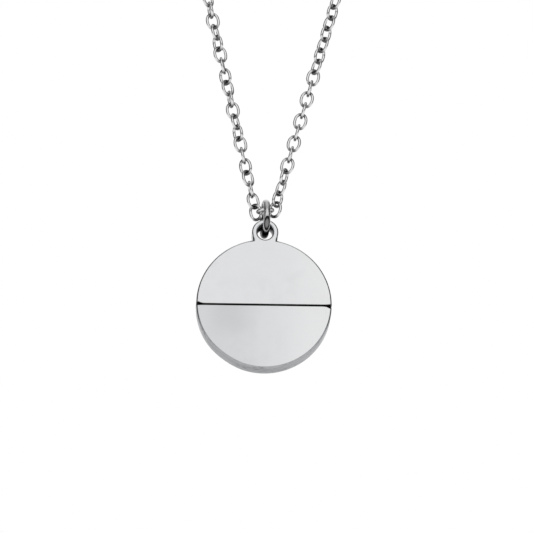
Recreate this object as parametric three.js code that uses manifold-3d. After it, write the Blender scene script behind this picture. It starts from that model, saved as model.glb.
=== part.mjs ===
// A steel disc pendant on a cable chain, hanging in a whole closed loop.
// Millimetres, +Z up, +Y from the pendant towards the nape. The origin is where the chain rests on the neck.
import * as THREE from "three";
import { mergeVertices } from "three/addons/utils/BufferGeometryUtils.js";
import Module from "manifold-3d";

// Disc and the ear on its edge
const discDiameter = 20;
const discThickness = 2.9;
const edgeRounding = 0.3;
const earRadius = 1.97;
const earHoleRadius = 1.17;
const earSideTaper = THREE.MathUtils.degToRad(10);

// Groove across the disc's face
const grooveWidth = 0.25;
const grooveBelowCentre = 0.2;
const grooveBackWeb = 0.6;
const grooveLip = 0.12;
const cutterOverrun = 1; // how far the groove's cutter stands out of the disc

// Jump ring
const ringWire = 1.05;
const ringInnerDiameter = 3.75;

// Chain link, a loop of round wire with half-round ends
const linkLength = 2.69;
const linkWidth = 2.1;
const linkWire = 0.47;
const linkFuse = 0.08; // how deep the wires of neighbouring links run into each other

// How the two strands leave the link that the ring hangs on
const linksEachSide = 20;
const hangingLinkTilt = THREE.MathUtils.degToRad(8); // its right end is the higher one
const strandMeetGap = 0.06; // between the two strands' nodes, where one's link runs through the other's

// Clasp at the nape
const claspLength = 6.5;
const claspWidth = 4.2;
const claspDepth = 2.2;
const claspEyeDiameter = 2.6;
const claspEyeWire = 0.7;
const claspEyeSunk = 0.5;

// Clearances
const ringToLink = 0.12;
const ringToEar = 0.12;
const chainToClasp = 0.3;

// Facets
const discSides = 64;
const earSides = 18;
const holeSides = 24;
const roundingSteps = 2;
const ringSides = 32;
const ringWireSides = 12;
const linkSides = 10;
const linkWireSides = 6;
const chainTubeSides = 8;
const chainTubeSteps = 52;

// The chain's way from the hanging link, which is at 0, 0, 0, up and round the neck. Each strand has
// its lean from upright and how far its links turn about its own line, beside the 90 degrees each. Where
// it is apart, its first link belongs to the other strand's node and the rest keep clear of it. Its
// first link has a lean and turn of its own, and sits off the hanging link's end at an angle, the hook,
// sunk into it by a little and moved across.
const strands = [
  {
    name: "chain_left",
    side: -1,
    lean: THREE.MathUtils.degToRad(12.9),
    route: [
      [-16.4, 3.5, 63], [-26.5, 11, 98], [-38.5, 23, 133], [-49.5, 38, 161], [-56.5, 57.5, 182],
      [-55, 78, 196], [-42.5, 96.5, 205.5], [-24, 106.5, 210],
    ],
    first: { lean: THREE.MathUtils.degToRad(13), turn: -29, hook: THREE.MathUtils.degToRad(-28),
      sunk: 0, across: 0.12 },
    apart: false,
    turns: [{ fromLink: 1, each: -41 }, { fromLink: 2, each: -9 }, { fromLink: 3, each: 22.5 }],
  },
  {
    name: "chain_right",
    side: 1,
    lean: THREE.MathUtils.degToRad(14.6),
    route: [
      [17.2, 3.5, 63], [27.5, 11, 98], [39, 23, 133], [49.5, 38, 161], [56.5, 57.5, 182],
      [55, 78, 196], [42.5, 96.5, 205.5], [24, 106.5, 210],
    ],
    first: { lean: THREE.MathUtils.degToRad(9.7), turn: -24, hook: THREE.MathUtils.degToRad(-26),
      sunk: 0.05, across: -0.16 },
    apart: true,
    turns: [{ fromLink: 1, each: -16 }, { fromLink: 2, each: -5 }, { fromLink: 3, each: 20 },
      { fromLink: 4, each: 25 }, { fromLink: 5, each: 0 }, { fromLink: 12, each: 10 },
      { fromLink: 13, each: 25 }, { fromLink: 14, each: 10 }, { fromLink: 15, each: 0 }],
  },
];
const nape = { behindPendant: 109.5, aboveHangingLink: 211.5 };

// Sizes that follow from those above
const discRadius = discDiameter / 2;
const ringCentreRadius = (ringInnerDiameter + ringWire) / 2;
const ringInnerRadius = ringInnerDiameter / 2;
const linkWireRadius = linkWire / 2;
const linkBowRadius = (linkWidth - linkWire) / 2 / Math.cos(Math.PI / linkSides);
const linkApex = (linkLength - linkWire) / 2;
const linkBowOffset = linkApex - linkBowRadius;
const linkPitch = linkLength - 2 * linkWire + linkFuse;
const linkPlay = linkBowRadius - linkWire;
const linkBar = (linkWidth - linkWire) / 2;
const hangingLinkAlong = new THREE.Vector3(Math.cos(hangingLinkTilt), 0, Math.sin(hangingLinkTilt));

// Heights, counted from the hanging link: its two bars bear the ring, and the ring's sides bear the ear.
const ringCentreZ = -Math.sqrt((ringInnerRadius - linkWireRadius - ringToLink) ** 2 - linkBar ** 2);
const earCornerReach = Math.sqrt((ringInnerRadius - ringToEar) ** 2 - (discThickness / 2) ** 2);
const earHoleZ = ringCentreZ - earCornerReach - earHoleRadius - edgeRounding;
const discCentreZ = earHoleZ - discRadius - earHoleRadius;

const steel = {
  disc: new THREE.MeshStandardMaterial({ color: 0xd9dadb, roughness: 0.22, metalness: 1 }),
  ring: new THREE.MeshStandardMaterial({ color: 0xcfd0d1, roughness: 0.14, metalness: 1 }),
  chain: new THREE.MeshStandardMaterial({ color: 0xc9cacc, roughness: 0.12, metalness: 1 }),
  clasp: new THREE.MeshStandardMaterial({ color: 0xcccdcf, roughness: 0.18, metalness: 1 }),
};

const wasm = await Module();
wasm.setup();

// A closed geometry as a solid that can be joined and cut
function toSolid(geometry) {
  const bare = geometry.clone();
  bare.deleteAttribute("normal");
  bare.deleteAttribute("uv");
  const merged = mergeVertices(bare, 1e-5);
  return new wasm.Manifold(
    new wasm.Mesh({
      numProp: 3,
      vertProperties: merged.getAttribute("position").array,
      triVerts: new Uint32Array(merged.index.array),
    }),
  );
}

// A solid back as a geometry
function toGeometry(solid) {
  const { vertProperties, triVerts } = solid.getMesh();
  const geometry = new THREE.BufferGeometry();
  geometry.setAttribute("position", new THREE.BufferAttribute(vertProperties, 3));
  geometry.setIndex(new THREE.BufferAttribute(triVerts, 1));
  geometry.computeVertexNormals();
  return geometry;
}

// Outline of disc and ear: a large arc, a tapered side up to the ear's own arc, and back
function discOutline() {
  const earCentre = discRadius + earHoleRadius;
  const tangent = new THREE.Vector2(Math.cos(earSideTaper), -Math.sin(earSideTaper))
    .multiplyScalar(earRadius)
    .add(new THREE.Vector2(0, earCentre));
  const down = new THREE.Vector2(-Math.sin(earSideTaper), -Math.cos(earSideTaper));
  const along = tangent.dot(down);
  const run = -along - Math.sqrt(along ** 2 - tangent.lengthSq() + discRadius ** 2);
  const foot = tangent.clone().addScaledVector(down, run);
  const footAngle = Math.atan2(foot.y, foot.x);
  const disc = new THREE.Path().absarc(0, 0, discRadius, Math.PI - footAngle, 2 * Math.PI + footAngle);
  const ear = new THREE.Path().absarc(0, earCentre, earRadius, -earSideTaper, Math.PI + earSideTaper);
  const outline = new THREE.Shape([...disc.getPoints(discSides), ...ear.getPoints(earSides)]);
  const hole = new THREE.Path().absarc(0, earCentre, earHoleRadius, 0, 2 * Math.PI, true);
  outline.holes.push(new THREE.Path(hole.getPoints(holeSides).slice(0, -1)));
  return outline;
}

// The groove's section, depth along X and height along Y, with chamfered lips at the face
function grooveCutter() {
  const face = -discThickness / 2;
  const half = grooveWidth / 2;
  const section = new THREE.Shape([
    new THREE.Vector2(face - cutterOverrun, -half - grooveLip),
    new THREE.Vector2(face, -half - grooveLip),
    new THREE.Vector2(face + grooveLip, -half),
    new THREE.Vector2(-face - grooveBackWeb, -half),
    new THREE.Vector2(-face - grooveBackWeb, half),
    new THREE.Vector2(face + grooveLip, half),
    new THREE.Vector2(face, half + grooveLip),
    new THREE.Vector2(face - cutterOverrun, half + grooveLip),
  ]);
  const length = discDiameter + 2 * cutterOverrun;
  const cutter = new THREE.ExtrudeGeometry(section, { depth: length, bevelEnabled: false });
  const [x, y, z] = [[1, 0, 0], [0, 1, 0], [0, 0, 1]].map((axis) => new THREE.Vector3(...axis));
  cutter.applyMatrix4(new THREE.Matrix4().makeBasis(y, z, x));
  return cutter.translate(-length / 2, 0, -grooveBelowCentre);
}

// The disc about its own centre, its face towards -Y
function makeDisc() {
  const plate = new THREE.ExtrudeGeometry(discOutline(), {
    depth: discThickness - 2 * edgeRounding,
    bevelEnabled: true,
    bevelThickness: edgeRounding,
    bevelSize: edgeRounding,
    bevelOffset: -edgeRounding,
    bevelSegments: roundingSteps,
  });
  plate.translate(0, 0, edgeRounding - discThickness / 2).rotateX(Math.PI / 2);
  const cut = toSolid(plate).subtract(toSolid(grooveCutter()));
  const mesh = new THREE.Mesh(toGeometry(cut), steel.disc);
  mesh.name = "disc";
  mesh.position.z = discCentreZ;
  return mesh;
}

// The jump ring, which stands across the disc
function makeRing() {
  const torus = new THREE.TorusGeometry(ringCentreRadius, ringWire / 2, ringWireSides, ringSides);
  const mesh = new THREE.Mesh(toGeometry(toSolid(torus.rotateY(Math.PI / 2))), steel.ring);
  mesh.name = "jump_ring";
  mesh.position.z = ringCentreZ;
  return mesh;
}

// One link about its centre, long way along Z, flat way across Y
function linkGeometry() {
  const link = new THREE.TorusGeometry(linkBowRadius, linkWireRadius, linkWireSides, linkSides);
  link.rotateZ(Math.PI / linkSides);
  const points = link.getAttribute("position");
  for (let i = 0; i < points.count; i++) {
    points.setY(i, points.getY(i) + Math.sign(points.getY(i)) * linkBowOffset);
  }
  return link.rotateX(Math.PI / 2);
}

// A link at a centre, its long way along a direction, turned about it by an angle in degrees
function placedLink(centre, direction, turn) {
  const lie = new THREE.Quaternion().setFromUnitVectors(new THREE.Vector3(0, 0, 1), direction);
  const spin = new THREE.Quaternion().setFromAxisAngle(
    new THREE.Vector3(0, 0, 1), THREE.MathUtils.degToRad(turn));
  const place = new THREE.Matrix4().compose(centre, lie.multiply(spin), new THREE.Vector3(1, 1, 1));
  return toSolid(linkGeometry().applyMatrix4(place));
}

// Centres, directions and turns of a strand's links, each hooked into the one below it
function strandLinks({ side, lean, first, apart, turns }) {
  const grip = linkPlay + first.sunk;
  const lying = (angle) => new THREE.Vector3(side * Math.sin(angle), 0, Math.cos(angle));
  const upright = lying(lean);
  const direction = lying(first.lean);
  const turn = THREE.MathUtils.degToRad(first.turn);
  const outwards = new THREE.Vector3(side * Math.cos(first.lean) * Math.cos(turn), side * Math.sin(turn),
    -Math.sin(first.lean) * Math.cos(turn));
  const centre = hangingLinkAlong.clone().multiplyScalar(side * linkApex)
    .addScaledVector(outwards, grip * Math.cos(first.hook))
    .addScaledVector(direction, grip * Math.sin(first.hook) + linkBowOffset)
    .add(new THREE.Vector3(0, first.across, 0));
  const links = [{ centre, direction, turn: first.turn }];
  for (let n = 1; n < linksEachSide; n++) {
    const below = links[n - 1];
    const each = turns.filter((row) => row.fromLink <= n).at(-1).each;
    const clear = apart && n === 1 ? linkFuse + strandMeetGap : 0;
    const hooked = below.centre.clone()
      .addScaledVector(below.direction, linkApex)
      .addScaledVector(upright, linkPitch - linkApex - clear);
    links.push({ centre: hooked, direction: upright, turn: below.turn + 90 + each });
  }
  return links;
}

// The stretch round the neck, as a tube from the last link to the clasp
function neckStretch(strand, lastLink) {
  const end = new THREE.Vector3(strand.side * chainEndX, nape.behindPendant + linkWidth / 2,
    nape.aboveHangingLink);
  const points = [lastLink.centre, ...strand.route.map((point) => new THREE.Vector3(...point)), end];
  const path = new THREE.CatmullRomCurve3(points, false, "centripetal");
  const section = new THREE.Shape(
    new THREE.Path().absarc(0, 0, linkWidth / 2, 0, 2 * Math.PI).getPoints(chainTubeSides).slice(0, -1));
  return toSolid(new THREE.ExtrudeGeometry(section, { steps: chainTubeSteps, extrudePath: path }));
}

// One strand of the chain as one body
function makeStrand(strand, links) {
  const solids = links.map((link) => placedLink(link.centre, link.direction, link.turn));
  solids.push(neckStretch(strand, links.at(-1)));
  const mesh = new THREE.Mesh(toGeometry(solids.reduce((all, next) => all.add(next))), steel.chain);
  mesh.name = strand.name;
  return mesh;
}

// The clasp about its centre: a flat rounded bar along X with an eye at each end
const claspEyeRadius = (claspEyeDiameter - claspEyeWire) / 2;
const claspEyeX = claspLength / 2 + claspEyeDiameter / 2 - claspEyeSunk;
const chainEndX = claspEyeX + claspEyeDiameter / 2 + chainToClasp;

function makeClasp() {
  const bar = new THREE.CapsuleGeometry(claspWidth / 2, claspLength - claspWidth, 5, 16);
  bar.rotateZ(Math.PI / 2).scale(1, claspDepth / claspWidth, 1);
  const eyes = [-1, 1].map((side) => {
    const eye = new THREE.TorusGeometry(claspEyeRadius, claspEyeWire / 2, 8, 16);
    return toSolid(eye.rotateX(Math.PI / 2).translate(side * claspEyeX, 0, 0));
  });
  const mesh = new THREE.Mesh(toGeometry(toSolid(bar).add(eyes[0]).add(eyes[1])), steel.clasp);
  mesh.name = "clasp";
  mesh.position.set(0, nape.behindPendant + linkWidth / 2, nape.aboveHangingLink);
  return mesh;
}

const hangingLink = { centre: new THREE.Vector3(), direction: hangingLinkAlong, turn: 90 };
const [leftLinks, rightLinks] = strands.map(strandLinks);

const necklace = new THREE.Group();
necklace.position.set(0, -nape.behindPendant, -nape.aboveHangingLink);
necklace.add(
  makeDisc(),
  makeRing(),
  makeStrand(strands[0], [hangingLink, rightLinks[0], ...leftLinks]),
  makeStrand(strands[1], rightLinks.slice(1)),
  makeClasp(),
);

export default necklace;
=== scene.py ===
"""Looks of a steel disc pendant that hangs by a jump ring from a closed cable chain.

Every shape is worked out in millimetres, counted from the link that the ring hangs on, and moved to the
frame's own origin at the nape when its mesh is made. The frame's origin and every finished object are in
metres, with +Z up and +Y from the pendant towards the nape.
"""

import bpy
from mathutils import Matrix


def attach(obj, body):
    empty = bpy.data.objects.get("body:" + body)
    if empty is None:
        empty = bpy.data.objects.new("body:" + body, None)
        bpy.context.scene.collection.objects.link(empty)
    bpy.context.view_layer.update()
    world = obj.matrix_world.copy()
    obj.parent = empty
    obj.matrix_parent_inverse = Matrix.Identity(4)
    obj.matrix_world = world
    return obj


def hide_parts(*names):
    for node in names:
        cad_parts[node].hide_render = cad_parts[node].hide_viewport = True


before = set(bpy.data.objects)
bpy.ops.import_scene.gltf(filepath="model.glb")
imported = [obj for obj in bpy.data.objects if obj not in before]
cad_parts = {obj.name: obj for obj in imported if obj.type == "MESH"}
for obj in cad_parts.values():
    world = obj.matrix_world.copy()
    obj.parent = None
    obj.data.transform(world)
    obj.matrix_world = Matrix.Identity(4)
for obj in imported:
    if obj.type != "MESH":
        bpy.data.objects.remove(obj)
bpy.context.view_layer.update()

import logging
import math
from dataclasses import dataclass, field
from enum import Enum

import bmesh
import bpy
import numpy as np
from mathutils import Quaternion, Vector

MM = 0.001
SAME_PLACE = 1e-8
HANGING_LINK = np.array([0.0, -109.5, -211.5])
HANGING_TILT = math.radians(8)
HANGING_ALONG = np.array([math.cos(HANGING_TILT), 0.0, math.sin(HANGING_TILT)])

Colour = tuple[float, float, float]
NodeValue = bpy.types.NodeSocket | float | tuple[float, ...]

log = logging.getLogger("pendant")


class Slot(Enum):
    """The record's material slots."""

    DISC = "polished_disc_steel"
    RING = "polished_ring_steel"
    CHAIN = "polished_chain_steel"
    CLASP = "clasp_steel"


class Body(Enum):
    """The bodies that pieces ride on."""

    CHAIN = "chain"
    RING = "ring"
    DISC = "disc"


class Zone(Enum):
    """The places of the disc's three finishes, numbered as its materials are."""

    FACE = 0
    EDGE = 1
    INSIDE = 2


def linked_object(name: str, data: bpy.types.ID) -> bpy.types.Object:
    """Makes an object of a mesh or a camera, in the scene and at the frame's origin.

    Args:
        name: the object's name.
        data: what it shows or is.

    Returns:
        The new object.
    """
    made = bpy.data.objects.new(name, data)
    bpy.context.scene.collection.objects.link(made)
    return made


def mesh_object(name: str, points: np.ndarray, faces: list[list[int]]) -> bpy.types.Object:
    """Makes a smooth shaded mesh object.

    Args:
        name: the object's name.
        points: its points, in millimetres from the hanging link.
        faces: the point numbers of each face.

    Returns:
        The new object.
    """
    mesh = bpy.data.meshes.new(name)
    mesh.from_pydata(((points + HANGING_LINK) * MM).tolist(), [], faces)
    mesh.validate()
    mesh.polygons.foreach_set("use_smooth", np.ones(len(mesh.polygons), bool))
    return linked_object(name, mesh)


@dataclass
class Surface:
    """Points in millimetres from the hanging link, and the faces between them.

    Each face is a row of four point numbers. The marks, where there are any, are one number for each
    point, which the piece keeps as the attribute mark.
    """

    points: np.ndarray
    faces: np.ndarray
    marks: np.ndarray | None = None

    def __add__(self, other: "Surface") -> "Surface":
        """Both surfaces as one, not welded.

        Args:
            other: the surface to add.

        Returns:
            The sum, with the other's faces numbered on.
        """
        return Surface(
            np.vstack([self.points, other.points]),
            np.vstack([self.faces, other.faces + len(self.points)]),
            None if self.marks is None else np.concatenate([self.marks, other.marks]),
        )

    def to_object(self, name: str) -> bpy.types.Object:
        """Makes a mesh object of the surface, with its marks.

        Args:
            name: the object's name.

        Returns:
            The new object.
        """
        made = mesh_object(name, self.points, self.faces.tolist())
        if self.marks is not None:
            mark = made.data.attributes.new("mark", "FLOAT", "POINT")
            mark.data.foreach_set("value", self.marks.astype(np.float32))
        made.data.update()
        return made


def ring_faces(rings: int, count: int, closed: bool) -> np.ndarray:
    """Four-cornered faces between rings of points that are numbered ring by ring.

    Args:
        rings: how many rings there are.
        count: how many points each has.
        closed: whether the last ring joins the first.

    Returns:
        The four point numbers of each face, one face a row.
    """
    r, c = np.meshgrid(np.arange(rings if closed else rings - 1), np.arange(count), indexing="ij")
    r_next, c_next = (r + 1) % rings, (c + 1) % count
    corners = [r * count + c, r * count + c_next, r_next * count + c_next, r_next * count + c]
    return np.stack(corners, axis=-1).reshape(-1, 4)


def swept_wire(centres: np.ndarray, outward: np.ndarray, side: np.ndarray,
               radius: float | np.ndarray, section: int) -> Surface:
    """A round wire along a flat path whose end joins its start.

    A point is centre + radius * (cos(v) * outward + sin(v) * side), with v once round the section.

    Args:
        centres: the path's points, one a row.
        outward: the unit vectors in the path's plane that point out of its bend.
        side: the unit vector across that plane.
        radius: the wire's radius, one for all points or one for each.
        section: how many points go round the wire.

    Returns:
        The wire's closed surface.
    """
    v = np.linspace(0, 2 * np.pi, section, endpoint=False)
    ring = np.cos(v)[None, :, None] * outward[:, None, :] + np.sin(v)[None, :, None] * side
    points = centres[:, None, :] + np.reshape(radius, (-1, 1, 1)) * ring
    return Surface(points.reshape(-1, 3), ring_faces(len(centres), section, True))


@dataclass(frozen=True)
class Edge:
    """A smooth step from 0 to 1: a value's part along an axis goes from low to high.

    Where the value is a place it is in millimetres from the hanging link.
    """

    axis: tuple[float, float, float]
    low: float
    high: float


@dataclass(frozen=True)
class Tint:
    """Painted light or shade: a change of a finish's colour where all its edges are 1.

    With an attribute's name, the edges step along that attribute instead of the place.
    """

    colour: Colour
    edges: tuple[Edge, ...]
    attribute: str = ""


@dataclass(frozen=True)
class ShadeSpot:
    """A round patch of painted shade about a point, in millimetres from the hanging link: full in its core,
    then fading.
    """

    colour: Colour
    centre: tuple[float, float, float]
    radius: float
    core: float = 0.0


@dataclass(frozen=True)
class SteelFinish:
    """A steel surface: its colour, its gloss, the wear that breaks them up and the light and shade painted
    on it.

    The roughness goes from its first value to its second with the wear. The scale, for each metre, and
    the stretch are the wear noise's.
    """

    name: str
    colour: Colour
    worn_colour: Colour
    roughness: tuple[float, float]
    scale: float
    bump: float
    stretch: tuple[float, float, float] = (1, 1, 1)
    tints: tuple[Tint, ...] = ()
    shade_spots: tuple[ShadeSpot, ...] = ()


X_AXIS = (1.0, 0.0, 0.0)
Y_AXIS = (0.0, 1.0, 0.0)
Z_AXIS = (0.0, 0.0, 1.0)
RING_Z = -1.283
DISC_Z = -14.9117
GROOVE_BELOW_CENTRE = 0.2
GROOVE_RISE = math.radians(0.75)
GROOVE_Z = DISC_Z - GROOVE_BELOW_CENTRE
FRONT = Edge(Y_AXIS, 0.5, -0.5)
BELOW_GROOVE = Edge((-math.tan(GROOVE_RISE), 0.0, 1.0), GROOVE_Z + 0.05, GROOVE_Z - 0.05)

FACE_STEEL = SteelFinish(
    "polished_face", colour=(0.815, 0.82, 0.83), worn_colour=(0.79, 0.795, 0.805), roughness=(0.12, 0.2),
    scale=500, bump=0.03,
    tints=(
        # Painted light and shade on the front face: darker below the groove towards the left, darkest in a
        # patch low on the left, and lighter towards the right.
        Tint((0.72, 0.727, 0.74), (FRONT, BELOW_GROOVE, Edge(X_AXIS, 7, -7))),
        Tint((0.66, 0.667, 0.68), (
            FRONT, BELOW_GROOVE, Edge(X_AXIS, 0, -5), Edge(X_AXIS, -9, -6),
            Edge(Z_AXIS, GROOVE_Z - 6, GROOVE_Z - 2.5),
        )),
        Tint((0.86, 0.865, 0.87), (FRONT, Edge(X_AXIS, 1.5, 9))),
    ),
    shade_spots=(
        # Painted shade in the corners at the ear's feet, on the front face.
        ShadeSpot((0.02, 0.02, 0.021), (-1.82, -1.45, -4.98), 0.5),
        ShadeSpot((0.02, 0.02, 0.021), (1.82, -1.45, -4.98), 0.38),
    ),
)
EDGE_STEEL = SteelFinish(
    # The rim is brushed and rougher than the face, and its colour is also set far darker than the face's,
    # which paints shade along the whole rim.
    "brushed_edge", colour=(0.33, 0.335, 0.35), worn_colour=(0.19, 0.195, 0.21), roughness=(0.22, 0.38),
    scale=1300, stretch=(1, 3, 1), bump=0.4,
    tints=(
        # Painted light on the front rounding and, lighter still, on the upper rim; painted shade on the
        # lower back rim.
        Tint((0.5, 0.505, 0.52), (Edge(Y_AXIS, -1.1, -1.3),)),
        Tint((0.76, 0.77, 0.78), (Edge(Z_AXIS, DISC_Z - 1, DISC_Z + 5),)),
        Tint((0.16, 0.162, 0.17), (Edge(Y_AXIS, 1.1, 1.35), Edge(Z_AXIS, DISC_Z - 3, DISC_Z - 6))),
    ),
    shade_spots=(
        # Painted shade in the corners at the ear's feet, on the front rounding.
        ShadeSpot((0.01, 0.01, 0.011), (-1.78, -1.3, -5.0), 0.8),
        ShadeSpot((0.01, 0.01, 0.011), (1.78, -1.3, -5.0), 0.7),
    ),
)
INNER_STEEL = SteelFinish(
    "shaded_inside", colour=(0.2, 0.2, 0.205), worn_colour=(0.12, 0.12, 0.122), roughness=(0.3, 0.5),
    scale=2500, bump=0.2,
)
RING_STEEL = SteelFinish(
    "polished_ring", colour=(0.85, 0.85, 0.86), worn_colour=(0.76, 0.76, 0.77), roughness=(0.3, 0.4),
    scale=2500, bump=0.08,
    tints=(
        # Painted shade on the ring's lower part, inside the ear's hole and behind it.
        Tint((0.03, 0.03, 0.031), (Edge(Y_AXIS, -2.0, -1.3), Edge(Z_AXIS, -2.6, -3.1))),
        # Painted dark outline round the worn flat, and a painted grey reflection over its middle.
        Tint((0.02, 0.02, 0.021), (Edge(X_AXIS, -0.07, -0.03),), "mark"),
        Tint((0.26, 0.26, 0.265), (Edge(X_AXIS, 0.06, 0.15),), "mark"),
    ),
    # Painted shade on the ring's inner side.
    shade_spots=(ShadeSpot((0.06, 0.06, 0.062), (0, 0, RING_Z), 2.6, 2.1),),
)
CHAIN_STEEL = SteelFinish(
    "polished_wire", colour=(0.9, 0.9, 0.905), worn_colour=(0.82, 0.82, 0.825), roughness=(0.03, 0.08),
    scale=3500, bump=0.05,
    # Painted shade at each link's ends, where it hooks into its neighbours.
    tints=(Tint((0.13, 0.13, 0.132), (Edge(X_AXIS, 0.65, 1.0),), "mark"),),
)
CLASP_STEEL = SteelFinish(
    "polished_clasp", colour=(0.79, 0.79, 0.8), worn_colour=(0.7, 0.7, 0.71), roughness=(0.08, 0.2),
    scale=2000, bump=0.08,
)


@dataclass
class Nodes:
    """A node tree while it is put together, with short ways to add and join nodes."""

    tree: bpy.types.NodeTree

    def add(self, kind: str, group: bpy.types.NodeTree | None = None,
            **inputs: NodeValue) -> bpy.types.Node:
        """Adds a node.

        Args:
            kind: the node's type, after ShaderNode.
            group: the node group, for a node of type Group.
            inputs: its inputs by name, spaces written as underscores: each a socket to link or a value.

        Returns:
            The new node.
        """
        node = self.tree.nodes.new(f"ShaderNode{kind}")
        if group:
            node.node_tree = group
        for name, value in inputs.items():
            self.feed(node, name.replace("_", " "), value)
        return node

    def feed(self, node: bpy.types.Node, name: str | int, value: NodeValue) -> None:
        """Links a socket into one of a node's inputs, or sets the input's own value.

        Args:
            node: the node to feed.
            name: its input's name or number.
            value: the socket or the value.
        """
        if isinstance(value, bpy.types.NodeSocket):
            self.tree.links.new(value, node.inputs[name])
        else:
            node.inputs[name].default_value = value

    def calculate(self, operation: str, *values: NodeValue, of: str = "",
                  out: int | str = 0) -> bpy.types.NodeSocket:
        """Works out a number by a Math node, or with of="Vector" by a Vector Math node.

        Args:
            operation: what the node works out.
            values: its inputs, in order.
            of: what it works with.
            out: which of its outputs is the result.

        Returns:
            The result's socket.
        """
        node = self.add(f"{of}Math")
        node.operation = operation
        for number, value in enumerate(values):
            self.feed(node, number, value)
        return node.outputs[out]

    def smooth(self, value: NodeValue, low: NodeValue, high: NodeValue) -> bpy.types.NodeSocket:
        """A smooth step from 0 to 1 as a value goes from low to high.

        Args:
            value: the value to step along.
            low: where the step starts.
            high: where it ends.

        Returns:
            The step's socket.
        """
        node = self.add("MapRange", Value=value, From_Min=low, From_Max=high)
        node.interpolation_type = "SMOOTHSTEP"
        return node.outputs["Result"]

    def blend(self, factor: NodeValue, first: NodeValue, second: NodeValue,
              how: str = "MIX") -> bpy.types.NodeSocket:
        """The mix of two colours.

        Args:
            factor: how much of the second there is.
            first: a colour.
            second: the colour that it is blended with.
            how: the kind of mix.

        Returns:
            The new colour's socket.
        """
        node = self.add("Mix")
        node.data_type = "RGBA"
        node.blend_type = how
        self.feed(node, "Factor", factor)
        for name, value in (("A", first), ("B", second)):
            self.feed(node, name, value if isinstance(value, bpy.types.NodeSocket) else (*value, 1.0))
        return node.outputs["Result"]


def new_group(name: str, inputs: dict[str, str],
              outputs: tuple[str, ...]) -> tuple[Nodes, bpy.types.Node, bpy.types.Node]:
    """Starts a shader node group.

    Args:
        name: its name.
        inputs: the kind of each input socket, by name.
        outputs: the names of its output values.

    Returns:
        The group's nodes, its input node and its output node.
    """
    tree = bpy.data.node_groups.new(name, "ShaderNodeTree")
    for socket, kind in inputs.items():
        tree.interface.new_socket(socket, in_out="INPUT", socket_type=f"NodeSocket{kind}")
    for socket in outputs:
        tree.interface.new_socket(socket, in_out="OUTPUT", socket_type="NodeSocketFloat")
    return Nodes(tree), tree.nodes.new("NodeGroupInput"), tree.nodes.new("NodeGroupOutput")


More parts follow.
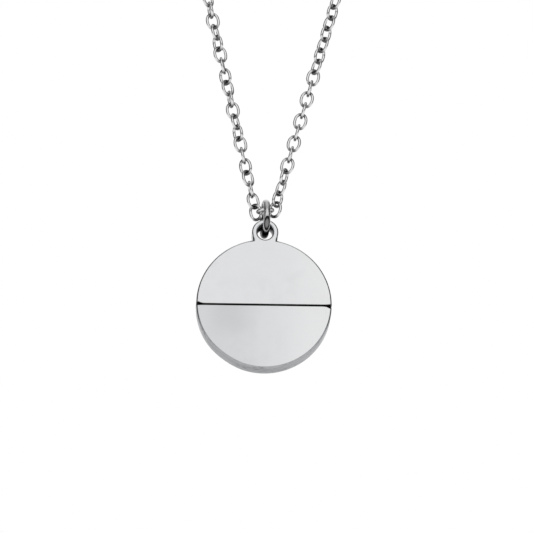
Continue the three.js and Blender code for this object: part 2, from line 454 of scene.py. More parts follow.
class Workshop:
    """The shared node groups, and the materials made with them."""

    cloud_scale: float = 0.18
    fine_step: tuple[float, float] = (0.35, 0.7)
    cloud_step: tuple[float, float] = (0.3, 0.7)
    bump_distance: float = 1e-5

    def __init__(self) -> None:
        """Makes the groups once, for every material and for the surroundings."""
        self.soft_step = self.make_mask("SoftStep", "DOT_PRODUCT", "Axis", "Low", "High")
        self.soft_spot = self.make_mask("SoftSpot", "DISTANCE", "Centre", "Radius", "Core")
        self.wear = self.make_wear()

    def make_mask(self, name: str, measure: str, about: str, low: str, high: str) -> bpy.types.NodeTree:
        """The group behind an Edge or a Spot: a smooth step of what is measured between two vectors.

        Args:
            name: the group's name.
            measure: the Vector Math operation.
            about: the second vector's input.
            low: the input where the Mask is 0.
            high: the input where it is 1.

        Returns:
            The group.
        """
        kinds = {"Vector": "Vector", about: "Vector", low: "Float", high: "Float"}
        nodes, enter, leave = new_group(name, kinds, ("Mask",))
        place = enter.outputs
        value = nodes.calculate(measure, place["Vector"], place[about], of="Vector", out="Value")
        nodes.feed(leave, "Mask", nodes.smooth(value, place[low], place[high]))
        return nodes.tree

    def make_wear(self) -> bpy.types.NodeTree:
        """The group behind every finish's wear: fine noise that slow clouds let through in places.

        Returns:
            The group, whose Mask is 1 where the steel is worn and whose Height is the fine noise.
        """
        kinds = {"Vector": "Vector", "Scale": "Float"}
        nodes, enter, leave = new_group("FineWear", kinds, ("Mask", "Height"))
        place, scale = enter.outputs["Vector"], enter.outputs["Scale"]
        fine = nodes.add("TexNoise", Vector=place, Scale=scale, Detail=4.0, Roughness=0.6)
        slow = nodes.calculate("MULTIPLY", scale, self.cloud_scale)
        cloud = nodes.add("TexNoise", Vector=place, Scale=slow, Detail=2.0)
        mask = nodes.smooth(fine.outputs["Fac"], *self.fine_step)
        mask = nodes.calculate("MULTIPLY", mask, nodes.smooth(cloud.outputs["Fac"], *self.cloud_step))
        nodes.feed(leave, "Mask", mask)
        nodes.feed(leave, "Height", fine.outputs["Fac"])
        return nodes.tree

    def mask(self, nodes: Nodes, place: bpy.types.NodeSocket,
             edges: tuple[Edge, ...]) -> bpy.types.NodeSocket:
        """The product of some edges' steps at a place.

        Args:
            nodes: the tree's nodes.
            place: where the steps are taken.
            edges: the edges, at least one.

        Returns:
            The product's socket.
        """
        product = None
        for edge in edges:
            step = nodes.add("Group", self.soft_step, Vector=place, Axis=edge.axis,
                             Low=edge.low, High=edge.high).outputs["Mask"]
            product = step if product is None else nodes.calculate("MULTIPLY", product, step)
        return product

    def tinted(self, nodes: Nodes, place: bpy.types.NodeSocket, finish: SteelFinish) -> NodeValue:
        """A finish's colour with the light and shade that its tints paint, if it has any.

        Args:
            nodes: the material's nodes.
            place: the place in millimetres from the hanging link.
            finish: the surface to build.

        Returns:
            The colour.
        """
        colour = finish.colour
        for tint in finish.tints:
            value = place
            if tint.attribute:
                source = nodes.add("Attribute")
                source.attribute_name = tint.attribute
                value = source.outputs["Fac"]
            colour = nodes.blend(self.mask(nodes, value, tint.edges), colour, tint.colour)
        return colour

    def material(self, finish: SteelFinish) -> bpy.types.Material:
        """Builds a finish as a material on the piece's own coordinates.

        Args:
            finish: the surface to build.

        Returns:
            The new material.
        """
        made = bpy.data.materials.new(finish.name)
        made.use_nodes = True
        nodes = Nodes(made.node_tree)
        shader = made.node_tree.nodes["Principled BSDF"]
        shader.inputs["Metallic"].default_value = 1.0
        own = nodes.add("TexCoord").outputs["Object"]
        stretched = nodes.add("Mapping", Vector=own, Scale=finish.stretch).outputs["Vector"]
        wear = nodes.add("Group", self.wear, Vector=stretched, Scale=finish.scale).outputs
        place = nodes.calculate("MULTIPLY_ADD", own, (1 / MM,) * 3, tuple(-HANGING_LINK), of="Vector")
        ratio = tuple(worn / fresh for fresh, worn in zip(finish.colour, finish.worn_colour))
        darker = nodes.blend(wear["Mask"], (1.0, 1.0, 1.0), ratio)
        colour = nodes.blend(1.0, self.tinted(nodes, place, finish), darker, "MULTIPLY")
        # Each spot paints a round patch of shade over the colour.
        for spot in finish.shade_spots:
            painted_shade = nodes.add("Group", self.soft_spot, Vector=place, Centre=spot.centre,
                              Radius=spot.radius, Core=spot.core).outputs["Mask"]
            colour = nodes.blend(painted_shade, colour, spot.colour)
        nodes.feed(shader, "Base Color", colour)
        gloss = nodes.add("MapRange", Value=wear["Mask"])
        gloss.inputs["To Min"].default_value, gloss.inputs["To Max"].default_value = finish.roughness
        nodes.feed(shader, "Roughness", gloss.outputs["Result"])
        bump = nodes.add("Bump", Height=wear["Height"], Strength=finish.bump,
                         Distance=self.bump_distance)
        nodes.feed(shader, "Normal", bump.outputs["Normal"])
        log.info("finish: %s", finish.name)
        return made


@dataclass
class CableLink:
    """An oval link of round wire, before it is placed: its long way is Z and its flat way is across Y."""

    length: float = 2.75
    width: float = 2.1
    wire: float = 0.46
    squareness: float = 2.25

    def surface(self, along: int, section: int) -> Surface:
        """The link's surface: its middle line is |x/a|^p + |z/b|^p = 1, and a round wire follows it.

        Args:
            along: how many sections the link has.
            section: how many points go round the wire.

        Returns:
            The closed surface, about the link's own centre.
        """
        t = np.linspace(0, 2 * np.pi, along, endpoint=False)
        half_width = (self.width - self.wire) / 2
        half_length = (self.length - self.wire) / 2
        power = 2 / self.squareness
        across = np.sign(np.cos(t)) * np.abs(np.cos(t)) ** power
        up = np.sign(np.sin(t)) * np.abs(np.sin(t)) ** power
        centres = np.column_stack([half_width * across, np.zeros(along), half_length * up])
        slope = self.squareness - 1
        out = np.column_stack([
            np.sign(across) * np.abs(across) ** slope / half_width,
            np.zeros(along),
            np.sign(up) * np.abs(up) ** slope / half_length,
        ])
        out /= np.linalg.norm(out, axis=1, keepdims=True)
        made = swept_wire(centres, out, np.array(Y_AXIS), self.wire / 2, section)
        # The mark is 1 at the link's ends, where the chain's finish paints shade.
        made.marks = np.repeat(np.abs(up), section)
        return made


def turned_links(centres: np.ndarray, directions: np.ndarray, turns: np.ndarray, side: int,
                 link: Surface) -> Surface:
    """Copies of one link, each with its long way along a direction and turned about it.

    A link's second axis is its direction crossed with (1, 0, -side), which no link of the chain lies
    along, and its first is the second crossed with the direction. Both turn by the link's angle.

    Args:
        centres: the links' centres, one a row.
        directions: their unit directions.
        turns: their angles in degrees.
        side: -1 for the left strand, 1 for the right one.
        link: the link to copy.

    Returns:
        All the copies as one surface.
    """
    second = np.cross(directions, [1.0, 0.0, -float(side)])
    second /= np.linalg.norm(second, axis=1, keepdims=True)
    first = np.cross(second, directions)
    angle = np.radians(turns)[:, None]
    wide = np.cos(angle) * first + np.sin(angle) * second
    flat = np.cos(angle) * second - np.sin(angle) * first
    axes = np.stack([wide, flat, directions], axis=1)
    points = np.einsum("pk,nkc->npc", link.points, axes) + centres[:, None, :]
    shift = (np.arange(len(centres)) * len(link.points))[:, None, None]
    faces = (link.faces[None, :, :] + shift).reshape(-1, 4)
    return Surface(points.reshape(-1, 3), faces, np.tile(link.marks, len(centres)))


def smooth_route(points: np.ndarray, steps: int) -> np.ndarray:
    """A curve through chosen points, each stretch's bend set by its neighbours.

    It is the cubic whose slopes at its ends come from the square roots of the distances between points,
    so that short stretches don't overshoot.

    Args:
        points: the chosen points, one a row.
        steps: how many points each stretch gets.

    Returns:
        The curve's points, one a row.
    """
    before = 2 * points[0] - points[1]
    after = 2 * points[-1] - points[-2]
    all_points = np.vstack([before, points, after])
    p0, p1, p2, p3 = all_points[:-3], all_points[1:-2], all_points[2:-1], all_points[3:]
    gap = [np.sqrt(np.linalg.norm(b - a, axis=1, keepdims=True)) for a, b in ((p0, p1), (p1, p2), (p2, p3))]
    start = ((p1 - p0) / gap[0] - (p2 - p0) / (gap[0] + gap[1]) + (p2 - p1) / gap[1]) * gap[1]
    end = ((p2 - p1) / gap[1] - (p3 - p1) / (gap[1] + gap[2]) + (p3 - p2) / gap[2]) * gap[1]
    t = np.linspace(0, 1, steps, endpoint=False)[None, :, None]
    p1, p2, start, end = (a[:, None, :] for a in (p1, p2, start, end))
    curve = (
        (2 * t**3 - 3 * t**2 + 1) * p1 + (t**3 - 2 * t**2 + t) * start
        + (-2 * t**3 + 3 * t**2) * p2 + (t**3 - t**2) * end
    )
    return np.vstack([curve.reshape(-1, 3), points[-1]])


@dataclass
class FirstLink:
    """How a strand's first link sits on the hanging link's end.

    Its lean and hook are in radians, its turn in degrees, and what it is sunk and moved across in mm.
    """

    lean: float
    turn: float
    hook: float
    sunk: float
    across: float


@dataclass
class Strand:
    """One side of the chain, from the hanging link up and round the neck. Its lean is in radians.

    Where it is apart, its first link belongs to the other strand's piece. The rise is the route's first
    points, with x counted outwards. The turns say by how many degrees more than 90 each link turns on
    from the one before, from the link of that number to the next number.
    """

    name: str
    node: str
    side: int
    lean: float
    first: FirstLink
    apart: bool
    rise: tuple[tuple[float, float, float], ...]
    turns: dict[int, float]


NECK_ROUTE = ((49.5, 38, 161), (56.5, 57.5, 182), (55, 78, 196), (42.5, 96.5, 205.5), (24, 106.5, 210))
LEFT = Strand(
    name="left_strand_links",
    node="chain_left",
    side=-1,
    lean=math.radians(12.9),
    first=FirstLink(lean=math.radians(13), turn=-29, hook=math.radians(-28), sunk=0, across=0.12),
    apart=False,
    rise=((16.4, 3.5, 63), (26.5, 11, 98), (38.5, 23, 133)),
    turns={1: -41, 2: -9, 3: 22.5},
)
RIGHT = Strand(
    name="right_strand_links",
    node="chain_right",
    side=1,
    lean=math.radians(14.6),
    first=FirstLink(lean=math.radians(9.7), turn=-24, hook=math.radians(-26), sunk=0.05, across=-0.16),
    apart=True,
    rise=((17.2, 3.5, 63), (27.5, 11, 98), (39, 23, 133)),
    turns={1: -16, 2: -5, 3: 20, 4: 25, 5: 0, 12: 10, 13: 25, 14: 10, 15: 0},
)


@dataclass
class CableChain:
    """The cable chain: every link of both strands, with the link that the ring hangs on.

    The apex is how far a link's end lies from its centre in the plain solids, whose places the links take.
    The play and the bow offset are how far out and up a strand's first link sits from the hanging link's
    end. The looseness and the hanging link's turn are in degrees.
    """

    link: CableLink = field(default_factory=CableLink)
    pitch: float = 1.83
    apex: float = 1.11
    bow_offset: float = 0.243
    play: float = 0.387
    open_by: float = 0.14
    near_links: int = 20
    hanging_turn: float = 90.0
    last_link: tuple[float, float, float] = (5.56, 110.55, 211.5)
    near_detail: tuple[int, int] = (32, 12)
    far_detail: tuple[int, int] = (14, 6)
    route_steps: int = 60
    looseness: float = 3.0
    seed: int = 7
    finish: SteelFinish = CHAIN_STEEL

    def near_run(self, strand: Strand) -> tuple[np.ndarray, np.ndarray, np.ndarray]:
        """The links nearest the pendant, each hooked into the one below it.

        The first sits off the hanging link's end at the hook's angle, in its own plane. The second is a
        pitch further on, bent from the first one's lean to the strand's, and the rest follow evenly.

        Args:
            strand: the side to place.

        Returns:
            The links' centres, directions and turns in degrees.
        """
        side, first = strand.side, strand.first
        direction = np.array([side * math.sin(first.lean), 0.0, math.cos(first.lean)])
        upright = np.array([side * math.sin(strand.lean), 0.0, math.cos(strand.lean)])
        turn = math.radians(first.turn)
        outwards = np.array([
            side * math.cos(first.lean) * math.cos(turn),
            side * math.sin(turn),
            -math.sin(first.lean) * math.cos(turn),
        ])
        grip = self.play + first.sunk
        centre = (
            HANGING_ALONG * side * self.apex
            + outwards * grip * math.cos(first.hook)
            + direction * (grip * math.sin(first.hook) + self.bow_offset)
            + np.array([0.0, first.across, 0.0])
        )
        step = self.pitch - self.apex - (self.open_by if strand.apart else 0)
        second = centre + self.apex * direction + step * upright
        number = np.arange(1, self.near_links)
        rest = second + (number - 1)[:, None] * self.pitch * upright
        directions = np.vstack([direction, np.repeat(upright[None, :], len(number), axis=0)])
        row = np.searchsorted(list(strand.turns), number, side="right") - 1
        each = 90 + np.array(list(strand.turns.values()))[row]
        turns = first.turn + np.concatenate([[0.0], np.cumsum(each)])
        return np.vstack([centre, rest]), directions, turns

    def far_run(self, strand: Strand, start: np.ndarray,
                turn: float) -> tuple[np.ndarray, np.ndarray, np.ndarray]:
        """The links round the neck, at equal steps along the strand's route.

        Each turns on by 90 degrees from the one before, less a little so that the last one fits the clasp.

        Args:
            strand: the side to place.
            start: the last near link's centre.
            turn: its turn in degrees.

        Returns:
            The links' centres, directions and turns in degrees.
        """
        route = np.array([*strand.rise, *NECK_ROUTE, self.last_link]) * [strand.side, 1, 1]
        curve = smooth_route(np.vstack([start, route]), self.route_steps)
        length = np.concatenate([[0], np.cumsum(np.linalg.norm(np.diff(curve, axis=0), axis=1))])
        count = round(length[-1] / self.pitch)
        places = np.linspace(0, length[-1], count + 1)[1:]
        centres = np.column_stack([np.interp(places, length, curve[:, k]) for k in range(3)])
        tangent = np.gradient(centres, axis=0)
        directions = tangent / np.linalg.norm(tangent, axis=1, keepdims=True)
        turns = turn + 90.0 * np.arange(1, count + 1)
        turns -= np.linspace(0, (turns[-1] - 90) % 180, count)
        return centres, directions, turns

    def build(self, strand: Strand, wire: bpy.types.Material) -> None:
        """Makes one strand's links as one piece in the place of its plain solid.

        Args:
            strand: the side to build.
            wire: the chain's material.
        """
        side = strand.side
        centres, directions, turns = self.near_run(strand)
        far = self.far_run(strand, centres[-1], turns[-1])
        loose = np.random.default_rng(self.seed + side).normal(0, self.looseness, len(turns))
        loose[0] = 0
        fine = self.link.surface(*self.near_detail)
        own = slice(1 if strand.apart else 0, None)
        surface = turned_links(centres[own], directions[own], (turns + loose)[own], side, fine)
        surface += turned_links(*far, side, self.link.surface(*self.far_detail))
        if not strand.apart:
            turn = np.array([self.hanging_turn])
            surface += turned_links(np.zeros((1, 3)), HANGING_ALONG[None, :], turn, side, fine)
            surface += turned_links(*(run[:1] for run in self.near_run(RIGHT)), side, fine)
        piece = surface.to_object(strand.name)
        piece.data.materials.append(wire)
        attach(piece, Body.CHAIN.value)
        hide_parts(strand.node)
        log.info("%s: %d links", strand.name, len(centres) + len(far[0]))


@dataclass
class JumpRing:
    """The round wire ring that stands across the disc: a seam low at its back, a worn flat at its front."""

    wire: float = 1.05
    inner_diameter: float = 3.75
    centre_z: float = RING_Z
    seam_at: float = math.radians(-140)
    seam_depth: float = 0.05
    seam_width: float = 0.035
    seam_rows: int = 11
    seam_reach: float = 2.5
    seam_clear: float = 3.0
    flat_at: float = math.radians(121)
    flat_depth: float = 0.18
    turn: float = math.radians(5)
    sections: int = 176
    round_wire: int = 40
    finish: SteelFinish = RING_STEEL

    def build(self, workshop: Workshop) -> None:
        """Makes the ring: a wire whose middle line is radius * (-sin u, cos u) in the YZ plane.

        The wire's own radius dips by the seam's depth in a narrow bell about the seam. Points that stand
        out past a plane square to the flat's direction are set back onto that plane, and how far each
        stood out is kept as its mark. The ring is then turned a little about its upright.

        Args:
            workshop: the maker of the materials.
        """
        radius = (self.inner_diameter + self.wire) / 2
        even = np.linspace(-np.pi, np.pi, self.sections, endpoint=False)
        bell = self.seam_width / radius
        reach = self.seam_reach * bell
        near_seam = self.seam_at + np.linspace(-reach, reach, self.seam_rows)
        far = np.abs(even - self.seam_at) > self.seam_clear * bell
        u = np.sort(np.concatenate([even[far], near_seam]))
        out = np.column_stack([np.zeros(len(u)), -np.sin(u), np.cos(u)])
        size = self.wire / 2 - self.seam_depth * np.exp(-((u - self.seam_at) / bell) ** 2)
        surface = swept_wire(radius * out, out, np.array(X_AXIS), size, self.round_wire)
        points = surface.points
        toward = np.array([0.0, -math.sin(self.flat_at), math.cos(self.flat_at)])
        past = points @ toward - (radius + self.wire / 2 - self.flat_depth)
        points -= np.maximum(past, 0)[:, None] * toward
        cos, sin = math.cos(self.turn), math.sin(self.turn)
        points = points @ np.array([[cos, sin, 0], [-sin, cos, 0], [0, 0, 1]])
        points[:, 2] += self.centre_z
        piece = Surface(points, surface.faces, past).to_object("jump_ring_wire")
        face_outwards(piece)
        piece.data.materials.append(workshop.material(self.finish))
        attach(piece, Body.RING.value)
        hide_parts("jump_ring")
        log.info("jump ring: %d faces", len(piece.data.polygons))


def face_outwards(piece: bpy.types.Object, holes_up_to: int = 0) -> None:
    """Turns every face of a piece to point out of it.

    Args:
        piece: the piece, which is closed or has only holes that are filled.
        holes_up_to: how many sides a hole may have to be filled first.
    """
    work = bmesh.new()
    work.from_mesh(piece.data)
    bmesh.ops.remove_doubles(work, verts=work.verts, dist=SAME_PLACE)
    if holes_up_to:
        bmesh.ops.holes_fill(work, edges=work.edges, sides=holes_up_to)
    bmesh.ops.recalc_face_normals(work, faces=work.faces)
    work.to_mesh(piece.data)
    work.free()
    piece.data.update()


def at_depths(flat: np.ndarray, depths: np.ndarray) -> np.ndarray:
    """Sets rings of points (x, z) each at its own depth y.

    Args:
        flat: the rings' points, by ring, point and coordinate.
        depths: a depth for each ring.

    Returns:
        The points (x, y, z), by ring, point and coordinate.
    """
    y = np.broadcast_to(depths[:, None], flat.shape[:2])
    return np.stack([flat[:, :, 0], y, flat[:, :, 1]], axis=-1)


def capped(name: str, rings: np.ndarray, height: float) -> bpy.types.Object:
    """A closed object of rings of points with one flat face at each end.

    Args:
        name: the object's name.
        rings: the rings' points, by ring, point and coordinate.
        height: how far up from the hanging link they are moved.

    Returns:
        The new object, its faces turned outwards.
    """
    count = rings.shape[1]
    points = rings.reshape(-1, 3) + [0, 0, height]
    faces = ring_faces(len(rings), count, False).tolist()
    faces += [list(range(count)), list(range(len(points) - count, len(points)))]
    made = mesh_object(name, points, faces)
    face_outwards(made)
    return made


@dataclass
class DiscPendant:
    """The round plate with its ear, seen from the front: edges rounded, a groove across its face."""

    radius: float = 10.0
    thickness: float = 2.9
    rounding: float = 0.3
    ear_radius: float = 1.97
    ear_hole: float = 1.17
    ear_taper: float = math.radians(10)
    centre_z: float = DISC_Z
    groove_width: float = 0.25
    groove_lip: float = 0.07
    groove_below: float = GROOVE_BELOW_CENTRE
    groove_rise: float = GROOVE_RISE
    groove_web: float = 0.6
    upper_flares: tuple[float, float] = (0.35, 0.1)
    lower_flares: tuple[float, float] = (0.05, 0.4)
    end_reach: float = 0.6
    end_length: float = 2.0
    end_points: int = 21
    flare_depth: float = 0.7
    dent: float = 0.11
    dent_at: float = math.radians(234)
    dent_reach: float = math.radians(16)
    disc_points: int = 420
    ear_points: int = 70
    rounding_steps: int = 7
    flat_margin: float = 0.12
    hole_points: int = 84
    lip_steps: int = 6
    overrun: float = 1.0
    sharp_from: float = math.radians(35)
    flat_normal: float = 0.97
    wall_normal: float = 0.9
    groove_reach: float = 0.3
    zone_margin: float = 0.02
    finishes: tuple[SteelFinish, ...] = (FACE_STEEL, EDGE_STEEL, INNER_STEEL)

    def outline(self) -> tuple[np.ndarray, np.ndarray]:
        """The outline of disc and ear, and the vectors that point out of it.

        The disc's arc runs from the ear's left foot round to its right foot, a straight tapered side goes
        up to the ear's own arc, and the other side comes down again. Wear flattens the disc at its lower
        left: its radius there is radius - dent * exp(-((angle - dent_at) / dent_reach)^2).

        Returns:
            The points (x, z) about the disc's centre and their outward vectors, which are longer than 1
            only at the ear's feet.
        """
        ear_z = self.radius + self.ear_hole
        taper = self.ear_taper
        tangent = self.ear_radius * np.array([math.cos(taper), -math.sin(taper)]) + [0, ear_z]
        down = np.array([-math.sin(taper), -math.cos(taper)])
        along = tangent @ down
        run = -along - math.sqrt(along**2 - tangent @ tangent + self.radius**2)
        foot = tangent + run * down
        foot_angle = math.atan2(foot[1], foot[0])
        disc = np.linspace(math.pi - foot_angle, 2 * math.pi + foot_angle, self.disc_points)
        ear = np.linspace(-taper, math.pi + taper, self.ear_points)
        worn = self.radius - self.dent * np.exp(-((disc - self.dent_at) / self.dent_reach) ** 2)
        disc_out = np.column_stack([np.cos(disc), np.sin(disc)])
        ear_out = np.column_stack([np.cos(ear), np.sin(ear)])
        points = np.vstack([worn[:, None] * disc_out, self.ear_radius * ear_out + [0, ear_z]])
        out = np.vstack([disc_out, ear_out])
        for foot, side in ((len(disc) - 1, 0), (0, -1)):
            out[foot] = (disc_out[foot] + ear_out[side]) / (1 + disc_out[foot] @ ear_out[side])
        return points, out

    def wall(self, points: np.ndarray, out: np.ndarray) -> np.ndarray:
        """Rows of points from the front face round the edge to the back face.

        Inset and depth follow a quarter circle of the rounding's radius at each face, and one more row
        lies on each face a little further in.

        Args:
            points: the outline's points (x, z).
            out: its outward vectors.

        Returns:
            The points (x, y, z), by row, point and coordinate.
        """
        a = np.linspace(0, math.pi / 2, self.rounding_steps + 1)
        half = self.thickness / 2
        inset = self.rounding * (1 - np.sin(a))
        depth = -half + self.rounding * (1 - np.cos(a))
        inner = self.rounding + self.flat_margin
        inset = np.concatenate([[inner], inset, inset[::-1], [inner]])
        depth = np.concatenate([[-half], depth, -depth[::-1], [half]])
        return at_depths(points[None, :, :] - inset[:, None, None] * out[None, :, :], depth)

    def flare(self, size: np.ndarray | float, rounding: float, steps: int) -> tuple[np.ndarray, np.ndarray]:
        """Half sizes and depths of a cut that opens in a quarter circle at the front face.

        Args:
            size: the cut's half size below its lip.
            rounding: the quarter circle's radius.
            steps: how many steps it has.

        Returns:
            The half sizes and the depths, from outside the face inwards.
        """
        a = np.linspace(0, math.pi / 2, steps + 1)
        depth = -self.thickness / 2 + rounding * (1 - np.cos(a))
        sizes = size + rounding * (1 - np.sin(a))
        return np.append(sizes[0], sizes), np.append(-self.thickness / 2 - self.overrun, depth)

    def hole_tool(self) -> bpy.types.Object:
        """The tool that cuts the ear's hole: a pin turned about Y that opens out at both faces.

        Returns:
            The closed tool.
        """
        size, depth = self.flare(self.ear_hole, self.rounding, self.rounding_steps)
        size = np.concatenate([size, size[::-1]])
        depth = np.concatenate([depth, -depth[::-1]])
        angle = np.linspace(0, 2 * np.pi, self.hole_points, endpoint=False)
        circle = np.column_stack([np.cos(angle), np.sin(angle)])
        rings = at_depths(size[:, None, None] * circle, depth)
        return capped("hole_tool", rings, self.centre_z + self.radius + self.ear_hole)

    def groove_tool(self) -> bpy.types.Object:
        """The tool that cuts the groove: a slot with rounded lips, wider where it leaves the disc.

        With x along the groove, each lip moves outwards by its flare at the left or right end times
        exp(-((|x| - radius) / end_reach)^2), and less with depth, down to nothing at the flare's depth.
        The whole slot climbs by x * tan(rise).

        Returns:
            The closed tool.
        """
        end = np.linspace(self.radius - self.end_length, self.radius, self.end_points)
        end = np.append(end, self.radius + self.overrun)
        x = np.concatenate([-end[::-1], end])
        size, depth = self.flare(self.groove_width / 2, self.groove_lip, self.lip_steps)
        flare_end = self.flare_depth - self.thickness / 2
        size = np.append(size, [self.groove_width / 2] * 2)
        depth = np.append(depth, [flare_end, self.thickness / 2 - self.groove_web])
        shallow = np.clip((flare_end - depth) / self.flare_depth, 0, 1)
        bell = np.exp(-(np.minimum(np.abs(x) - self.radius, 0) / self.end_reach) ** 2)
        upper = bell * np.where(x < 0, *self.upper_flares)
        lower = bell * np.where(x < 0, *self.lower_flares)
        lips = (size + upper[:, None] * shallow, -(size + lower[:, None] * shallow)[:, ::-1])
        z = np.hstack(lips) + x[:, None] * math.tan(self.groove_rise)
        rings = np.stack(np.broadcast_arrays(x[:, None], np.append(depth, depth[::-1]), z), axis=-1)
        return capped("groove_tool", rings, self.centre_z - self.groove_below)

    def build(self, workshop: Workshop) -> None:
        """Makes the disc: the plate less hole and groove, shaded smooth with its flats kept flat.

        Args:
            workshop: the maker of the materials.
        """
        plate = capped("disc_plate", self.wall(*self.outline()), self.centre_z)
        tools = [self.hole_tool(), self.groove_tool()]
        for tool in tools:
            cut = plate.modifiers.new(tool.name, "BOOLEAN")
            cut.operation = "DIFFERENCE"
            cut.solver = "EXACT"
            cut.object = tool
        depsgraph = bpy.context.evaluated_depsgraph_get()
        mesh = bpy.data.meshes.new_from_object(plate.evaluated_get(depsgraph))
        piece = linked_object("disc_with_ear", mesh)
        for scrap in (plate, *tools):
            bpy.data.objects.remove(scrap)
        mesh.set_sharp_from_angle(angle=self.sharp_from)
        weighted = piece.modifiers.new("flat faces", "WEIGHTED_NORMAL")
        weighted.mode = "FACE_AREA"
        weighted.weight = 100
        weighted.keep_sharp = True
        for finish in self.finishes:
            mesh.materials.append(workshop.material(finish))
        self.zone(mesh)
        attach(piece, Body.DISC.value)
        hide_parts("disc")
        log.info("disc: %d faces", len(mesh.polygons))

    def zone(self, mesh: bpy.types.Mesh) -> None:
        """Gives each face its finish by its zone.

        The groove's walls and floor and the hole are inside. Of the rest, what looks straight forwards or
        backwards is face, and what doesn't is edge.

        Args:
            mesh: the disc's mesh, in metres in the frame.
        """
        count = len(mesh.polygons)
        normal = np.empty(count * 3)
        centre = np.empty(count * 3)
        mesh.polygons.foreach_get("normal", normal)
        mesh.polygons.foreach_get("center", centre)
        forwards, upwards = np.abs(normal.reshape(-1, 3)[:, 1:]).T
        x, y, z = (centre.reshape(-1, 3) / MM - HANGING_LINK - [0, 0, self.centre_z]).T
        flat = forwards > self.flat_normal
        off_groove = np.abs(z - x * math.tan(self.groove_rise) + self.groove_below)
        slot = (off_groove < self.groove_width / 2 + self.groove_reach) & (upwards > self.wall_normal)
        slot &= np.hypot(x, z) < self.radius - self.zone_margin
        floor = flat & (np.abs(y) < self.thickness / 2 - self.zone_margin)
        from_hole = np.hypot(x, z - self.radius - self.ear_hole)
        hole = (from_hole < self.ear_hole + self.zone_margin) & ~flat
        zone = np.where(flat, Zone.FACE.value, Zone.EDGE.value)
        zone[slot | floor | hole] = Zone.INSIDE.value
        mesh.polygons.foreach_set("material_index", zone.astype(np.int32))


@dataclass
class Clasp:
    """The plain clasp at the nape: a flat rounded bar with an eye at each end."""

    length: float = 6.5
    width: float = 4.2
    depth: float = 2.2
    eye_diameter: float = 2.6
    eye_wire: float = 0.7
    eye_sunk: float = 0.5
    bluntness: float = 0.6
    tip_size: float = 0.02
    centre: tuple[float, float, float] = (0.0, 110.55, 211.5)
    bar_detail: tuple[int, int] = (25, 32)
    eye_detail: tuple[int, int] = (40, 16)
    finish: SteelFinish = CLASP_STEEL

    def bar(self) -> Surface:
        """The bar: a rounded form whose section is an ellipse and whose ends are blunt.

        With s along the bar from -90 to 90 degrees and v round it, x = a * sign(sin s) * |sin s|^b, where
        b is the bluntness, and the section's half sizes are the bar's own times |cos s|^b.

        Returns:
            The surface, with a small hole at each end.
        """
        s = np.linspace(-np.pi / 2, np.pi / 2, self.bar_detail[0])
        v = np.linspace(0, 2 * np.pi, self.bar_detail[1], endpoint=False)
        x = self.length / 2 * np.sign(np.sin(s)) * np.abs(np.sin(s)) ** self.bluntness
        size = np.maximum(np.abs(np.cos(s)) ** self.bluntness, self.tip_size)
        points = np.stack(np.broadcast_arrays(
            x[:, None],
            -self.depth / 2 * size[:, None] * np.sin(v)[None, :],
            self.width / 2 * size[:, None] * np.cos(v)[None, :],
        ), axis=-1)
        return Surface(points.reshape(-1, 3), ring_faces(len(s), len(v), False))

    def build(self, workshop: Workshop) -> None:
        """Makes the clasp: the bar with its ends closed, and the eyes sunk into it.

        Args:
            workshop: the maker of the materials.
        """
        reach = self.length / 2 + self.eye_diameter / 2 - self.eye_sunk
        radius = (self.eye_diameter - self.eye_wire) / 2
        around, section = self.eye_detail
        u = np.linspace(0, 2 * np.pi, around, endpoint=False)
        out = np.column_stack([np.cos(u), np.zeros(around), np.sin(u)])
        surface = self.bar()
        for side in (-1, 1):
            centres = radius * out + [side * reach, 0, 0]
            surface += swept_wire(centres, out, -np.array(Y_AXIS), self.eye_wire / 2, section)
        surface.points = surface.points + self.centre
        piece = surface.to_object("clasp_with_eyes")
        face_outwards(piece, self.bar_detail[1])
        piece.data.materials.append(workshop.material(self.finish))
        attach(piece, Body.CHAIN.value)
        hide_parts("clasp")
        log.info("clasp: %d faces", len(piece.data.polygons))


@dataclass(frozen=True)
class LightZone:
    """A part of the surroundings: how bright it is, and the edges in its direction that bound it."""

    level: float
    edges: tuple[Edge, ...]


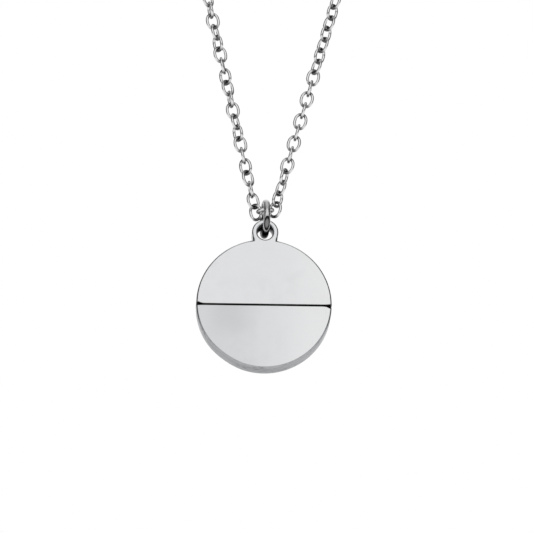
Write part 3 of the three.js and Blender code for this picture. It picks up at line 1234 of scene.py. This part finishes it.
@dataclass
class Studio:
    """The camera at the photograph's angle, a white background and a pale floor.

    The zones are what the steel mirrors. The lens and sensor are in camera millimetres, the pixel in the
    object's, and the floor and the nearest visible distance in metres.
    """

    image_size: int = 533
    ring_pixel: tuple[float, float] = (265.1, 219.2)
    pixel: float = 0.1486
    ring_centre: tuple[float, float, float] = (0.0, 0.0, RING_Z)
    azimuth: float = math.radians(-2)
    elevation: float = math.radians(-18.5)
    roll: float = math.radians(0.9)
    lens: float = 300
    sensor: float = 36
    nearest: float = 0.01
    darkest: float = 0.04
    zones: tuple[LightZone, ...] = (
        LightZone(0.87, (Edge(Y_AXIS, -0.5, -0.78), Edge(Z_AXIS, 0.0, 0.2))),
        LightZone(0.8, (Edge(Z_AXIS, 0.1, -0.15), Edge(Y_AXIS, 0.7, 0.35))),
        LightZone(0.85, (Edge(Y_AXIS, 0.35, 0.7),)),
        LightZone(0.5, (Edge(Z_AXIS, 0.7, 0.92),)),
    )
    floor_z: float = -1.1
    floor_side: float = 4.0
    floor_colour: Colour = (0.97, 0.97, 0.97)

    def camera(self) -> None:
        """Places the camera so that the ring's centre falls on its pixel of the photograph."""
        az, el = self.azimuth, self.elevation
        back = Vector((math.sin(az) * math.cos(el), -math.cos(az) * math.cos(el), math.sin(el)))
        turn = (-back).to_track_quat("-Z", "Y") @ Quaternion((0, 0, 1), self.roll)
        right = turn @ Vector((1, 0, 0))
        up = turn @ Vector((0, 1, 0))
        middle = self.image_size / 2
        target = Vector((np.array(self.ring_centre) + HANGING_LINK) * MM)
        target += right * (middle - self.ring_pixel[0]) * self.pixel * MM
        target += up * (self.ring_pixel[1] - middle) * self.pixel * MM
        distance = self.lens / self.sensor * self.image_size * self.pixel * MM
        data = bpy.data.cameras.new("camera")
        data.lens = self.lens
        data.sensor_width = self.sensor
        data.clip_start = self.nearest
        made = linked_object("camera", data)
        made.location = target + back * distance
        made.rotation_mode = "QUATERNION"
        made.rotation_quaternion = turn
        bpy.context.scene.camera = made

    def surroundings(self, workshop: Workshop) -> None:
        """A white world for the camera and the floor, and for reflections light zones on a dark ground.

        Args:
            workshop: the maker of the node groups.
        """
        world = bpy.data.worlds.new("studio")
        bpy.context.scene.world = world
        world.use_nodes = True
        nodes = Nodes(world.node_tree)
        nodes.tree.nodes.clear()
        direction = nodes.add("TexCoord").outputs["Generated"]
        total = self.darkest
        for zone in self.zones:
            part = nodes.calculate("MULTIPLY", workshop.mask(nodes, direction, zone.edges), zone.level)
            total = nodes.calculate("ADD", part, total)
        pure = (1.0, 1.0, 1.0, 1.0)
        mirrored = nodes.add("Background", Color=pure, Strength=total)
        white = nodes.add("Background", Color=pure)
        path = nodes.add("LightPath").outputs
        plain = nodes.calculate("MAXIMUM", path["Is Camera Ray"], path["Is Diffuse Ray"])
        mix = nodes.add("MixShader", Fac=plain)
        nodes.feed(mix, 1, mirrored.outputs[0])
        nodes.feed(mix, 2, white.outputs[0])
        nodes.feed(nodes.add("OutputWorld"), "Surface", mix.outputs[0])
        bpy.context.scene.view_settings.view_transform = "Standard"

    def floor(self) -> None:
        """A plain pale floor far below the part."""
        mesh = bpy.data.meshes.new("floor")
        far, low = self.floor_side / 2, self.floor_z
        corners = [(-far, -far, low), (far, -far, low), (far, far, low), (-far, far, low)]
        mesh.from_pydata(corners, [], [(0, 1, 2, 3)])
        made = linked_object("floor", mesh)
        pale = bpy.data.materials.new("pale_floor")
        pale.use_nodes = True
        sockets = pale.node_tree.nodes["Principled BSDF"].inputs
        sockets["Base Color"].default_value = (*self.floor_colour, 1)
        sockets["Roughness"].default_value = 1.0
        sockets["Specular IOR Level"].default_value = 0.0
        mesh.materials.append(pale)
        made.visible_glossy = False


def main() -> None:
    """Builds the pieces in order, each with its finish, and sets up the studio."""
    logging.basicConfig(level=logging.INFO, format="%(name)s: %(message)s")
    workshop = Workshop()
    studio = Studio()
    studio.camera()
    studio.surroundings(workshop)
    studio.floor()
    chain = CableChain()
    wire = workshop.material(chain.finish)
    for strand in (LEFT, RIGHT):
        chain.build(strand, wire)
    JumpRing().build(workshop)
    DiscPendant().build(workshop)
    Clasp().build(workshop)


if __name__ == "__main__":
    main()
